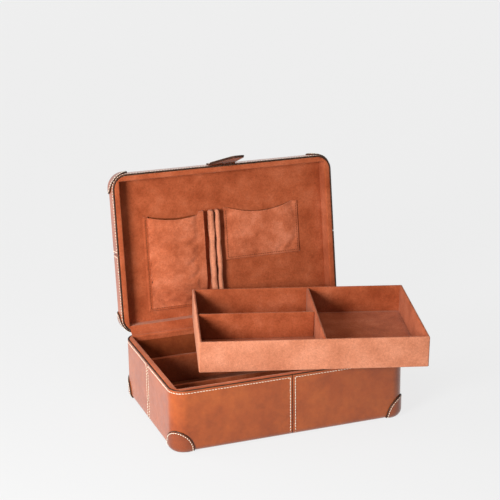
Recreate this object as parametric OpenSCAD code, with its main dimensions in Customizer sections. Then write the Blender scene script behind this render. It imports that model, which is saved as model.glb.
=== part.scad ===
/* [Case] */
// Outer width of the case, left to right
case_w = 280; // [240:1:320]
// Outer depth of the case, front to back
case_d = 192; // [170:1:220]
// Height of the base, underside to rim
base_h = 74; // [64:1:90]
// Depth of the closed lid, rim to top
lid_h = 24; // [22:1:34]
// Radius of the upright outer corners
corner_r = 18; // [14:0.5:20]
// Rounding of the bottom edge of the base
base_edge_r = 8; // [5:0.5:8]
// Rounding of the top edge of the lid
lid_edge_r = 5; // [4:0.5:5]
// Gap between the two rims when the lid is shut
rim_gap = 0.4; // [0.3:0.1:0.8]
// Angle that the lid stands open
open_angle = 97.7; // [80:0.1:105]

/* [Wall layers] */
// Thickness of the outer leather
leather_t = 2; // [1.5:0.1:2.5]
// Thickness of the case boards
board_t = 4.9; // [4:0.1:6]
// Thickness of the suede lining
suede_t = 1.4; // [1:0.1:2]
// Thickness of the suede folded over the rim
rim_suede_t = 0.8; // [0.6:0.1:1]
// Gap of each mid-side seam between leather panels
seam_gap = 0.6; // [0.3:0.1:1]
// How far the side leather turns in under the case
turn_in = 16; // [12:1:24]
// Glue line between the outer leather and the boards
glue_t = 0.1; // [0.1:0.05:0.3]

/* [Corner guards] */
// Leather thickness of a corner guard
guard_t = 1.5; // [1:0.25:2]
// Reach of a guard along the sides from its corner
guard_r = 24.5; // [18:0.5:28]
// Height of a base guard up its corner
base_guard_h = 27.5; // [20:0.5:32]
// Height of a lid guard down its corner
lid_guard_h = 21.5; // [18:0.5:22]

/* [Hinge] */
// Length of the piano hinge
hinge_l = 240; // [200:10:250]
// Outer radius of the hinge knuckles
knuckle_r = 1.6; // [1.5:0.1:1.8]
// Radius of the hinge pin
pin_r = 0.8; // [0.7:0.05:0.9]
// Running clearance of the pin in the lid knuckles
pin_play = 0.05; // [0.03:0.01:0.08]
// Number of knuckles, shared between the two leaves
knuckles = 15; // [9:2:21]

/* [Closure tab] */
// Width of the tab at its root
tab_w = 34; // [26:1:44]
// Width of the tab near its tip
tab_tip_w = 17; // [12:1:24]
// Length of the loose part of the tab
tab_l = 62; // [45:1:66]
// Angle that the loose tab stands off the closed front
tab_lift = 11; // [8:1:24]

/* [Tray] */
// Length of the lift-out tray
tray_l = 258; // [230:1:260]
// Depth of the lift-out tray, front to back
tray_d = 169; // [150:1:172]
// Height of the lift-out tray
tray_h = 36; // [26:1:38]
// Thickness of the tray walls and dividers
tray_wall = 3.6; // [3:0.2:5]
// Distance of the cross divider right of the tray centre
tray_cross_x = 12; // [-40:1:40]
// Distance of the long divider behind the tray centre
tray_long_y = 3.5; // [-30:0.5:30]
// Turn of the tray where it rests askew on the rims
tray_turn = -15.7; // [-17:0.1:-13]

/* [Inside the base] */
// Height of the rails that the seated tray rests on
seat_z = 43; // [36:1:50]
// Thickness of the rails
rail_t = 6; // [4:0.5:8]
// Gap between the ends of the side rails and the long ones
rail_gap = 0.2; // [0.1:0.1:0.5]
// Thickness of the divider in the lower compartment
divider_t = 4; // [3:0.5:6]
// Distance of that divider behind the middle of the case
divider_y = -2; // [-30:1:30]

/* [Hidden] */

wall = leather_t + board_t + suede_t;
rim_z = base_h;
lid_rim_z = base_h + rim_gap;
lid_top_z = lid_rim_z + lid_h;
floor_board_z = leather_t;
wall_board_z = base_edge_r;
floor_pad_t = 2;
floor_z = wall_board_z + floor_pad_t;
lid_board_t = lid_edge_r - leather_t;
panel_z = lid_top_z - lid_edge_r - suede_t;

leather = [0.68, 0.33, 0.16];
edge_brown = [0.42, 0.18, 0.09];
suede = [0.72, 0.36, 0.23];
board = [0.62, 0.50, 0.36];
brass = [0.80, 0.62, 0.30];
steel = [0.60, 0.60, 0.62];

round_fn = 64;
shell_fn = 32;

// ---- outlines ----

// Rounded rectangle of the case outline, drawn in by a distance
module outline(inset) {
    w = case_w - 2 * inset;
    d = case_d - 2 * inset;
    r = corner_r - inset;
    square([w - 2 * r, d], center = true);
    square([w, d - 2 * r], center = true);
    for (sx = [-1, 1], sy = [-1, 1])
        translate([sx * (w / 2 - r), sy * (d / 2 - r)]) circle(r, $fn = round_fn);
}

// Square-cornered outline of the inside faces, drawn in by a distance
module inner_outline(inset) {
    square([case_w - 2 * inset, case_d - 2 * inset], center = true);
}

// Closed block of the case outline with its lower edge rounded, standing from z0 up to z1
module soft_block(inset, edge_r, z0, z1) {
    r = corner_r - inset;
    e = edge_r - inset;
    hull() {
        translate([0, 0, z1 - 1]) linear_extrude(1)
            for (sx = [-1, 1], sy = [-1, 1])
                translate([sx * (case_w / 2 - corner_r), sy * (case_d / 2 - corner_r)])
                    circle(r, $fn = shell_fn);
        for (sx = [-1, 1], sy = [-1, 1])
            translate([sx * (case_w / 2 - corner_r), sy * (case_d / 2 - corner_r), z0 + e])
                rotate_extrude($fn = shell_fn) translate([r - e, 0]) circle(e, $fn = 24);
    }
}

// Corner quadrant of the case, left or right (sx) and front or back (sy)
module quadrant(sx, sy, z0, z1) {
    w = case_w / 2 + 10;
    d = case_d / 2 + 10;
    translate([sx > 0 ? seam_gap / 2 : -w, sy > 0 ? seam_gap / 2 : -d, z0])
        cube([w - seam_gap / 2, d - seam_gap / 2, z1 - z0]);
}

// Wedge that mitres a frame at its corners, for one side at a quarter turn k
module mitre(k) {
    reach = case_w;
    half = (case_w - case_d) / 2;
    along_x = k % 2 == 0;
    rotate(90 * k)
        polygon(along_x
            ? [[-half, 0], [half, 0], [half + reach, -reach], [-half - reach, -reach]]
            : [[0, -half], [reach, -half - reach], [-reach, -half - reach]]);
}

// ---- the two shells, in one closed frame ----

// A leather corner panel of the base: side walls, rounded edge and turn-in
module base_panel(sx, sy) {
    color(leather) difference() {
        intersection() {
            soft_block(0, base_edge_r, 0, rim_z);
            quadrant(sx, sy, -1, rim_z + 1);
        }
        soft_block(leather_t, base_edge_r, leather_t, rim_z + 2);
        translate([0, 0, -1]) linear_extrude(leather_t + 2) inner_outline(turn_in);
        if (sy > 0) hinge_notch(rim_z - knuckle_r - 0.3, rim_z + 1);
    }
}

// A leather corner panel of the lid, drawn upside down and turned over
module lid_panel(sx, sy) {
    color(leather) difference() {
        translate([0, 0, lid_top_z]) mirror([0, 0, 1]) difference() {
            intersection() {
                soft_block(0, lid_edge_r, 0, lid_h);
                quadrant(sx, sy, -1, lid_h + 1);
            }
            soft_block(leather_t, lid_edge_r, leather_t, lid_h + 2);
            translate([0, 0, -1]) linear_extrude(leather_t + 2) inner_outline(turn_in);
        }
        if (sy > 0) hinge_notch(lid_rim_z - 1, rim_z + knuckle_r + 0.8);
    }
}

// Room for the hinge knuckles in the back edge of the leather
module hinge_notch(z0, z1) {
    translate([-hinge_l / 2 - 0.5, case_d / 2 - leather_t - 0.2, z0])
        cube([hinge_l + 1, leather_t + 3, z1 - z0]);
}

// Egg about an outer corner that gives a guard its rounded outline
module guard_egg(sx, sy, h) {
    translate([sx * case_w / 2, sy * case_d / 2, 0]) rotate(5)
        hull() scale([1, 1, h / guard_r]) sphere(guard_r, $fn = shell_fn);
}

// A leather corner guard of the base, a patch moulded round the corner
module base_guard(sx, sy) {
    color(edge_brown) difference() {
        intersection() {
            soft_block(-guard_t, base_edge_r, -guard_t, base_h);
            guard_egg(sx, sy, base_guard_h);
            translate([-case_w, -case_d, 0]) cube([2 * case_w, 2 * case_d, base_guard_h + 3]);
        }
        soft_block(0, base_edge_r, 0, base_h + 9);
        translate([0, 0, -1]) linear_extrude(2) inner_outline(base_edge_r - 2.5);
    }
}

// A leather corner guard of the lid
module lid_guard(sx, sy) {
    color(edge_brown) translate([0, 0, lid_top_z]) mirror([0, 0, 1]) difference() {
        intersection() {
            soft_block(-guard_t, lid_edge_r, -guard_t, lid_h + 10);
            guard_egg(sx, sy, lid_guard_h);
        }
        soft_block(0, lid_edge_r, 0, lid_h + 20);
    }
}

// The ring of the side boards between two heights
module board_ring(z0, z1) {
    translate([0, 0, z0]) linear_extrude(z1 - z0) difference() {
        outline(leather_t + glue_t);
        inner_outline(leather_t + board_t);
    }
}

// A long board, front (sy = -1) or back (sy = 1)
module long_board(sy, z0, z1) {
    inner_y = case_d / 2 - leather_t - board_t;
    color(board) intersection() {
        board_ring(z0, z1);
        translate([-case_w, sy > 0 ? inner_y : -inner_y - 20, z0 - 1])
            cube([2 * case_w, 20, z1 - z0 + 2]);
    }
}

// A short board, left (sx = -1) or right (sx = 1), fitted between the long ones
module short_board(sx, z0, z1) {
    inner_y = case_d / 2 - leather_t - board_t;
    inner_x = case_w / 2 - leather_t - board_t;
    color(board) intersection() {
        board_ring(z0, z1);
        translate([sx > 0 ? inner_x : -inner_x - 20, -inner_y, z0 - 1])
            cube([20, 2 * inner_y, z1 - z0 + 2]);
    }
}

// Suede lining of one side: an upright sheet, and a fold over the rim mitred at the corners
module side_lining(k, sheet_z0, sheet_z1, fold_z0) {
    color(suede) {
        translate([0, 0, sheet_z0]) linear_extrude(sheet_z1 - sheet_z0) intersection() {
            difference() {
                inner_outline(leather_t + board_t);
                inner_outline(wall);
            }
            mitre(k);
        }
        translate([0, 0, fold_z0]) linear_extrude(rim_suede_t) intersection() {
            difference() {
                outline(leather_t + glue_t);
                inner_outline(wall);
            }
            mitre(k);
        }
    }
}

// ---- base ----

module base_floor_board() {
    color(board) intersection() {
        soft_block(leather_t, base_edge_r, floor_board_z, 2 * wall_board_z);
        translate([-case_w, -case_d, 0]) cube([2 * case_w, 2 * case_d, wall_board_z]);
    }
}

// The back board is recessed for the hinge leaf, the front one for the catch magnet
module base_long_board(sy) {
    difference() {
        long_board(sy, wall_board_z, rim_z - rim_suede_t);
        if (sy > 0) translate([-hinge_l / 2 - 0.2, leaf_y0 - 0.2, rim_z - rim_suede_t - leaf_t])
            cube([hinge_l + 0.4, 20, leaf_t + 1]);
        if (sy > 0) screws(rim_z - rim_suede_t - leaf_t, -1);
        if (sy < 0) translate([0, -case_d / 2 + leather_t, magnet_z]) magnet();
    }
}

module base_lining(k) {
    side_lining(k, floor_z, rim_z, rim_z - rim_suede_t);
}

module base_bottom_leather() {
    color(leather) linear_extrude(leather_t) inner_outline(turn_in + seam_gap / 2);
}

module base_floor_pad() {
    color(suede) translate([0, 0, wall_board_z]) linear_extrude(floor_pad_t)
        inner_outline(leather_t + board_t);
}

// Suede-covered rails round the inside walls
module tray_rest_rails() {
    color(suede) translate([0, 0, floor_z]) linear_extrude(seat_z - floor_z) {
        for (s = [-1, 1]) {
            translate([0, s * (case_d / 2 - wall - rail_t / 2)])
                square([case_w - 2 * wall, rail_t], center = true);
            translate([s * (case_w / 2 - wall - rail_t / 2), 0])
                square([rail_t, case_d - 2 * wall - 2 * rail_t - 2 * rail_gap], center = true);
        }
    }
}

module compartment_divider() {
    color(suede) translate([0, divider_y, floor_z + (seat_z - 1 - floor_z) / 2])
        cube([case_w - 2 * wall - 2 * rail_t, divider_t, seat_z - 1 - floor_z], center = true);
}

// Disc magnet let into the face of a board or a flap, its axis along Y
magnet_r = 6;
magnet_t = 2;
magnet_z = lid_rim_z + 6 - (tab_l - 14);
module magnet() {
    rotate([-90, 0, 0]) cylinder(magnet_t, magnet_r, magnet_r, $fn = round_fn);
}
module base_catch_magnet() {
    color(steel) translate([0, -case_d / 2 + leather_t, magnet_z]) magnet();
}

// ---- hinge ----

hinge_y = case_d / 2 + 0.4;
hinge_z = rim_z;
leaf_t = 0.7;
leaf_w = 7;
leaf_y0 = hinge_y - leaf_w;
knuckle_pitch = hinge_l / knuckles;
knuckle_gap = 0.3;

// Every second knuckle of the hinge, starting at the given one, each bored for the pin
module knuckle_row(first, bore_r) {
    for (i = [first : 2 : knuckles - 1])
        translate([-hinge_l / 2 + i * knuckle_pitch + knuckle_gap / 2, hinge_y, hinge_z])
            rotate([0, 90, 0]) difference() {
                cylinder(knuckle_pitch - knuckle_gap, knuckle_r, knuckle_r, $fn = round_fn);
                translate([0, 0, -1])
                    cylinder(knuckle_pitch + 2, bore_r, bore_r, $fn = round_fn);
            }
}

// Flat leaf with fingers that reach its own knuckles
module leaf(first, z0, bore_r) {
    finger_y = hinge_y - knuckle_r - 0.3;
    difference() {
        union() {
            translate([-hinge_l / 2, leaf_y0, z0]) cube([hinge_l, finger_y - leaf_y0, leaf_t]);
            for (i = [first : 2 : knuckles - 1])
                translate([-hinge_l / 2 + i * knuckle_pitch + knuckle_gap / 2, leaf_y0, z0])
                    cube([knuckle_pitch - knuckle_gap, leaf_w, leaf_t]);
            knuckle_row(first, bore_r);
        }
        translate([-hinge_l, hinge_y, hinge_z]) rotate([0, 90, 0])
            cylinder(2 * hinge_l, bore_r, bore_r, $fn = round_fn);
        screw_places() translate([0, 0, z0 - 1])
            cylinder(leaf_t + 2, screw_r, screw_r, $fn = 24);
    }
}

screw_r = 0.8;
screw_l = 4;
screw_count = 6;
module screw_places() {
    step = hinge_l / screw_count;
    for (i = [0 : screw_count - 1])
        translate([-hinge_l / 2 + (i + 0.5) * step, leaf_y0 + 2.4, 0]) children();
}

// Countersunk screws through a leaf into its board, pointing down (-1) or up (1)
module screws(z0, way) {
    screw_places() translate([0, 0, way < 0 ? z0 - screw_l + leaf_t : z0])
        cylinder(screw_l, screw_r, screw_r, $fn = 24);
}

module hinge_leaf_base() {
    color(brass) leaf(0, rim_z - rim_suede_t - leaf_t, pin_r);
}
module hinge_screws_base() {
    color(brass) screws(rim_z - rim_suede_t - leaf_t, -1);
}
module hinge_leaf_lid() {
    color(brass) leaf(1, lid_rim_z + rim_suede_t, pin_r + pin_play);
}
module hinge_screws_lid() {
    color(brass) screws(lid_rim_z + rim_suede_t, 1);
}
module hinge_pin() {
    color(brass) translate([-hinge_l / 2, hinge_y, hinge_z]) rotate([0, 90, 0])
        cylinder(hinge_l, pin_r, pin_r, $fn = round_fn);
}

// Swings what is drawn in the closed frame up to the open lid
module opened() {
    translate([0, hinge_y, hinge_z]) rotate([-open_angle, 0, 0])
        translate([0, -hinge_y, -hinge_z]) children();
}

// ---- lid ----

module lid_top_board() {
    color(board) translate([0, 0, lid_top_z]) mirror([0, 0, 1]) intersection() {
        soft_block(leather_t, lid_edge_r, leather_t, lid_h);
        translate([-case_w, -case_d, 0]) cube([2 * case_w, 2 * case_d, lid_edge_r]);
    }
}

module lid_long_board(sy) {
    difference() {
        long_board(sy, lid_rim_z + rim_suede_t, lid_top_z - lid_edge_r);
        if (sy > 0) translate([-hinge_l / 2 - 0.2, leaf_y0 - 0.2, lid_rim_z])
            cube([hinge_l + 0.4, 20, rim_suede_t + leaf_t]);
        if (sy > 0) screws(lid_rim_z + rim_suede_t, 1);
    }
}

module lid_short_board(sx) {
    short_board(sx, lid_rim_z + rim_suede_t, lid_top_z - lid_edge_r);
}

module lid_top_leather() {
    color(leather) translate([0, 0, lid_top_z - leather_t]) linear_extrude(leather_t)
        inner_outline(turn_in + seam_gap / 2);
}

module lid_lining(k) {
    side_lining(k, lid_rim_z, panel_z, lid_rim_z);
}

module lid_lining_panel() {
    color(suede) translate([0, 0, panel_z]) linear_extrude(suede_t)
        inner_outline(leather_t + board_t);
}

// Places a drawing of x to the right and s away from the hinge edge on the lid's inside face
module on_panel(h) {
    translate([-case_w / 2, case_d / 2, panel_z]) mirror([0, 0, 1]) mirror([0, 1, 0])
        translate([0, 0, h]) children();
}

pocket_s0 = 20;
pocket_s1 = 137;
pocket_x0 = 38;
pocket_x1 = 114;
pocket_deep = 8.5;
pocket_t = 1.6;

// Front of a pocket with a shallow scoop in its mouth
module pocket_front(x0, x1, s0, s1, mouth_x0, mouth_x1, sag) {
    half = (mouth_x1 - mouth_x0) / 2;
    scoop_r = (half * half + sag * sag) / (2 * sag);
    difference() {
        translate([x0, s0]) square([x1 - x0, s1 - s0]);
        translate([(mouth_x0 + mouth_x1) / 2, s1 - sag + scoop_r]) circle(scoop_r, $fn = 96);
    }
}

// Raised pocket with side and bottom gussets
module left_pocket() {
    color(suede) {
        on_panel(pocket_deep - pocket_t) linear_extrude(pocket_t)
            pocket_front(pocket_x0, pocket_x1, pocket_s0, pocket_s1, 43, 104, 6.5);
        on_panel(0) linear_extrude(pocket_deep - pocket_t) difference() {
            translate([pocket_x0, pocket_s0])
                square([pocket_x1 - pocket_x0, pocket_s1 - pocket_s0 - 8]);
            translate([pocket_x0 + pocket_t, pocket_s0 + pocket_t])
                square([pocket_x1 - pocket_x0 - 2 * pocket_t, pocket_s1 - pocket_s0]);
        }
    }
}

patch_x0 = 141;
patch_x1 = 239;
patch_s0 = 72;
patch_s1 = 137;
patch_t = 1.4;
patch_gap = 1.2;
patch_hem = 4;

// Flat patch pocket, sewn down along its sides and bottom
module right_pocket() {
    color(suede) {
        on_panel(patch_gap) linear_extrude(patch_t)
            pocket_front(patch_x0, patch_x1, patch_s0, patch_s1, 146, 231, 8);
        on_panel(0) linear_extrude(patch_gap) difference() {
            translate([patch_x0, patch_s0])
                square([patch_x1 - patch_x0, patch_s1 - patch_s0 - 9]);
            translate([patch_x0 + patch_hem, patch_s0 + patch_hem])
                square([patch_x1 - patch_x0 - 2 * patch_hem, patch_s1 - patch_s0]);
        }
    }
}

bar_h = 10.5;
bar_x = [116.6, 126.6];
bar_w = [7.6, 6.6];

// Padded upright bars that grip rings between them
module ring_bars() {
    color(suede) for (i = [0, 1])
        on_panel(0) translate([bar_x[i] + bar_w[i] / 2, pocket_s0, 0])
            rotate([-90, 0, 0]) linear_extrude(pocket_s1 - pocket_s0) {
                translate([-bar_w[i] / 2, -bar_h + bar_w[i] / 2])
                    square([bar_w[i], bar_h - bar_w[i] / 2]);
                translate([0, -bar_h + bar_w[i] / 2]) circle(bar_w[i] / 2, $fn = 48);
            }
}

// ---- closure tab ----

tab_t = 1.8;
tab_lining_t = 1;
tab_pivot_y = -case_d / 2 - 0.7 - tab_lining_t;
tab_pivot_z = lid_rim_z + 6;
tab_sewn_h = 11;
tab_joint_gap = 0.4;

// The sewn root of the tab on the front of the lid
module tab_anchor() {
    color(leather) translate([-tab_w / 2, -case_d / 2 - tab_t, tab_pivot_z + tab_joint_gap])
        cube([tab_w, tab_t, tab_sewn_h]);
}

// Outline of the loose flap: x across, y down from the pivot
module flap_outline(inset) {
    tip_r = 5;
    hull() {
        translate([-tab_w / 2 + inset, -1]) square([tab_w - 2 * inset, 1]);
        for (s = [-1, 1])
            translate([s * (tab_tip_w / 2 - tip_r), -tab_l + tip_r]) circle(tip_r - inset, $fn = 32);
    }
}

// Hangs a drawing of the flap from the pivot, standing off the front by tab_lift
module tab_frame() {
    translate([0, tab_pivot_y, tab_pivot_z]) rotate([-tab_lift, 0, 0]) children();
}

module tab_flap() {
    color(leather) tab_frame() rotate([90, 0, 0]) linear_extrude(tab_t)
        flap_outline(0);
}

module tab_flap_lining() {
    color(suede) tab_frame() difference() {
        rotate([90, 0, 0]) translate([0, 0, -tab_lining_t]) linear_extrude(tab_lining_t)
            flap_outline(0.6);
        translate([0, 0, -tab_l + 14]) tab_magnet_disc();
    }
}

module tab_magnet_disc() {
    rotate([-90, 0, 0]) cylinder(tab_lining_t, magnet_r, magnet_r, $fn = round_fn);
}
module tab_magnet() {
    color(steel) tab_frame() translate([0, 0, -tab_l + 14]) tab_magnet_disc();
}

// ---- tray ----

tray_x = 49.3;
tray_y = -14.6;
tray_z = 78.2;
tray_tilt = 1.9;
tray_lean = 1;

// The tray where it rests, drawn level about the centre of its underside
module tray_frame() {
    translate([tray_x, tray_y, tray_z]) rotate([tray_tilt, tray_lean, tray_turn]) children();
}

module tray_floor() {
    color(suede) tray_frame() translate([-tray_l / 2 + tray_wall, -tray_d / 2 + tray_wall, 0])
        cube([tray_l - 2 * tray_wall, tray_d - 2 * tray_wall, tray_wall]);
}

module tray_long_wall(sy) {
    color(suede) tray_frame()
        translate([-tray_l / 2, sy > 0 ? tray_d / 2 - tray_wall : -tray_d / 2, 0])
            cube([tray_l, tray_wall, tray_h]);
}

module tray_end_wall(sx) {
    color(suede) tray_frame()
        translate([sx > 0 ? tray_l / 2 - tray_wall : -tray_l / 2, -tray_d / 2 + tray_wall, 0])
            cube([tray_wall, tray_d - 2 * tray_wall, tray_h]);
}

module tray_cross_divider() {
    color(suede) tray_frame()
        translate([tray_cross_x - tray_wall / 2, -tray_d / 2 + tray_wall, tray_wall])
            cube([tray_wall, tray_d - 2 * tray_wall, tray_h - tray_wall - 0.5]);
}

module tray_long_divider() {
    x0 = -tray_l / 2 + tray_wall;
    color(suede) tray_frame() translate([x0, tray_long_y - tray_wall / 2, tray_wall])
        cube([tray_cross_x - tray_wall / 2 - x0, tray_wall, tray_h - tray_wall - 1]);
}

// ---- nodes ----

base_floor_board();
base_long_board(-1);  // base_front_board
base_long_board(1);  // base_back_board
short_board(-1, wall_board_z, rim_z - rim_suede_t);  // base_left_board
short_board(1, wall_board_z, rim_z - rim_suede_t);  // base_right_board
base_panel(-1, -1);  // base_panel_front_left
base_panel(1, -1);  // base_panel_front_right
base_panel(-1, 1);  // base_panel_back_left
base_panel(1, 1);  // base_panel_back_right
base_bottom_leather();
base_guard(-1, -1);  // base_guard_front_left
base_guard(1, -1);  // base_guard_front_right
base_guard(-1, 1);  // base_guard_back_left
base_guard(1, 1);  // base_guard_back_right
base_lining(0);  // base_lining_front
base_lining(1);  // base_lining_right
base_lining(2);  // base_lining_back
base_lining(3);  // base_lining_left
base_floor_pad();
tray_rest_rails();
compartment_divider();
base_catch_magnet();
hinge_leaf_base();
hinge_screws_base();
hinge_pin();
opened() hinge_leaf_lid();
opened() hinge_screws_lid();
opened() lid_top_board();
opened() lid_long_board(-1);  // lid_front_board
opened() lid_long_board(1);  // lid_back_board
opened() lid_short_board(-1);  // lid_left_board
opened() lid_short_board(1);  // lid_right_board
opened() lid_panel(-1, -1);  // lid_panel_front_left
opened() lid_panel(1, -1);  // lid_panel_front_right
opened() lid_panel(-1, 1);  // lid_panel_back_left
opened() lid_panel(1, 1);  // lid_panel_back_right
opened() lid_top_leather();
opened() lid_guard(-1, -1);  // lid_guard_front_left
opened() lid_guard(1, -1);  // lid_guard_front_right
opened() lid_guard(-1, 1);  // lid_guard_back_left
opened() lid_guard(1, 1);  // lid_guard_back_right
opened() lid_lining(0);  // lid_lining_front
opened() lid_lining(1);  // lid_lining_right
opened() lid_lining(2);  // lid_lining_back
opened() lid_lining(3);  // lid_lining_left
opened() lid_lining_panel();
opened() left_pocket();
opened() right_pocket();
opened() ring_bars();
opened() tab_anchor();
opened() tab_flap();
opened() tab_flap_lining();
opened() tab_magnet();
tray_floor();
tray_long_wall(-1);  // tray_front_wall
tray_long_wall(1);  // tray_back_wall
tray_end_wall(-1);  // tray_left_wall
tray_end_wall(1);  // tray_right_wall
tray_cross_divider();
tray_long_divider();
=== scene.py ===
"""Leather jewellery case: leather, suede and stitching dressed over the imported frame, in metres."""
import math
import random

import bmesh
import bpy
from mathutils import Matrix, Vector, noise


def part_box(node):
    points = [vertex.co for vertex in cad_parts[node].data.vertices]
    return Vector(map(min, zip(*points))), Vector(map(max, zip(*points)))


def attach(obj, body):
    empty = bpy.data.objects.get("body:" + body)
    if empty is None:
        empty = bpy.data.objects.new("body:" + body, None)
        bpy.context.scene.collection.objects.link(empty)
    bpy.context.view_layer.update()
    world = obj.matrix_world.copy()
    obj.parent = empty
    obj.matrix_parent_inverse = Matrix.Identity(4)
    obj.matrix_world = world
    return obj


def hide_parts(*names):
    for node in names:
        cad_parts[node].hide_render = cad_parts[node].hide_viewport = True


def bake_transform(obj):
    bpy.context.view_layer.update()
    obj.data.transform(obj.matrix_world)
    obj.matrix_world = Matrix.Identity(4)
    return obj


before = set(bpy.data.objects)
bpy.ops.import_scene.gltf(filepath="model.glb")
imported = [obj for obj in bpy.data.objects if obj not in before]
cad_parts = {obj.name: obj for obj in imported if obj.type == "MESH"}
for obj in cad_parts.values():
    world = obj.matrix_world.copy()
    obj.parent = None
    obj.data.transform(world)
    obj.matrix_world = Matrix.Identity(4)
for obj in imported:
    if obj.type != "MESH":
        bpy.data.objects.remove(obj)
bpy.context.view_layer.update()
random.seed(7)

# ---- sizes, in metres ----

MM = 0.001
panel_low, panel_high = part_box("base_panel_front_left")
HALF_W = -panel_low[0]
HALF_D = -panel_low[1]
RIM = panel_high[2]
CORNER_R = 18 * MM
BASE_EDGE_R = 8 * MM
LID_EDGE_R = 5 * MM
LEATHER_T = 2 * MM
SUEDE_T = 1.4 * MM
FOLD_T = 0.8 * MM
TURN_IN = 16 * MM
SEAM_HALF = 0.3 * MM
GUARD_T = 1.5 * MM
GUARD_R = 24.5 * MM
BASE_GUARD_H = 27.5 * MM
LID_GUARD_H = 21.5 * MM
RIM_GAP = 0.4 * MM
LID_RIM = RIM + RIM_GAP
LID_H = 24 * MM
LID_TOP = LID_RIM + LID_H
lining_low, lining_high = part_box("base_lining_front")
WALL = lining_high[1] + HALF_D
FLOOR = lining_low[2]
PANEL_Z = LID_TOP - LID_EDGE_R - SUEDE_T
pin_low, pin_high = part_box("hinge_pin")
HINGE = Vector((0, (pin_low[1] + pin_high[1]) / 2, (pin_low[2] + pin_high[2]) / 2))
OPEN_ANGLE = math.radians(97.7)
TAB_LIFT = math.radians(11)

STITCH_PITCH = 3.4 * MM
STITCH_LENGTH = 2.7 * MM
THREAD_R = 0.38 * MM
STITCH_INSET = 3.8 * MM
SEAM_STITCH = 3.0 * MM

AT_REST = Matrix.Identity(4)
OPENED = Matrix.Translation(HINGE) @ Matrix.Rotation(-OPEN_ANGLE, 4, "X") @ Matrix.Translation(-HINGE)


# ---- camera, light and floor ----

def add_camera():
    yaw = math.radians(20.303)
    pitch = math.radians(16.953)
    roll = math.radians(-0.748)
    ahead = Vector((math.sin(yaw) * math.cos(pitch), math.cos(yaw) * math.cos(pitch), -math.sin(pitch)))
    level_right = Vector((math.cos(yaw), -math.sin(yaw), 0))
    level_up = level_right.cross(ahead)
    right = level_right * math.cos(roll) + level_up * math.sin(roll)
    up = level_up * math.cos(roll) - level_right * math.sin(roll)
    lens = bpy.data.cameras.new("camera")
    lens.lens = 99.4
    lens.sensor_width = 36
    camera = bpy.data.objects.new("camera", lens)
    bpy.context.collection.objects.link(camera)
    axes = Matrix((right, up, -ahead)).transposed().to_4x4()
    camera.matrix_world = Matrix.Translation((-0.53654, -1.41456, 0.6523)) @ axes
    bpy.context.scene.camera = camera


def towards(azimuth, elevation):
    """Unit vector to a light; azimuth is measured from the front (-Y) towards the left (-X)."""
    a = math.radians(azimuth)
    e = math.radians(elevation)
    return Vector((-math.sin(a) * math.cos(e), -math.cos(a) * math.cos(e), math.sin(e)))


def add_light(light, direction, place):
    lamp = bpy.data.objects.new(light.name, light)
    bpy.context.collection.objects.link(lamp)
    lamp.rotation_mode = "QUATERNION"
    lamp.rotation_quaternion = direction.to_track_quat("Z", "Y")
    lamp.location = place


def add_softbox(name, direction, distance, size, power):
    """A square softbox that faces the middle of the case."""
    box = bpy.data.lights.new(name, "AREA")
    box.energy = power
    box.size = size
    add_light(box, direction, Vector((0, 0, 0.12)) + direction * distance)


def add_sun(name, direction, strength, softness):
    """A broad soft light from far away."""
    sun = bpy.data.lights.new(name, "SUN")
    sun.energy = strength
    sun.angle = math.radians(softness)
    add_light(sun, direction, Vector())


# Strength of the world on the object, and where the camera or a glossy surface sees it
AMBIENT = 0.13
BACKDROP = 0.86


def add_studio():
    add_camera()
    scene = bpy.context.scene
    scene.view_settings.view_transform = "Standard"
    scene.view_settings.look = "None"
    world = bpy.data.worlds.new("studio")
    world.use_nodes = True
    nodes, link = world.node_tree.nodes, world.node_tree.links.new
    backdrop = nodes["Background"]
    backdrop.inputs["Color"].default_value = (1, 1, 1, 1)
    path = nodes.new("ShaderNodeLightPath")
    either = nodes.new("ShaderNodeMath")
    either.operation = "MAXIMUM"
    link(path.outputs["Is Camera Ray"], either.inputs[0])
    link(path.outputs["Is Glossy Ray"], either.inputs[1])
    seen = nodes.new("ShaderNodeMapRange")
    seen.inputs["To Min"].default_value = AMBIENT
    seen.inputs["To Max"].default_value = BACKDROP
    link(either.outputs["Value"], seen.inputs["Value"])
    link(seen.outputs["Result"], backdrop.inputs["Strength"])
    scene.world = world
    add_softbox("key_light", towards(54, 17), 1.1, 0.36, 22)
    add_sun("top_light", towards(10, 76), 1.0, 70)
    add_sun("side_light", towards(124, 22), 1.9, 44)
    bm = bmesh.new()
    bmesh.ops.create_grid(bm, x_segments=8, y_segments=8, size=14)
    mesh = bpy.data.meshes.new("floor")
    bm.to_mesh(mesh)
    bm.free()
    floor = bpy.data.objects.new("floor", mesh)
    bpy.context.collection.objects.link(floor)
    paper = Paint("pale_paper", {
        "Base Color": (0.06, 0.06, 0.06, 1), "Emission Color": (1, 1, 1, 1), "Emission Strength": 0.79,
        "Roughness": 0.95, "Specular IOR Level": 0.1})
    mesh.materials.append(paper.material)


# ---- materials ----

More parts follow.
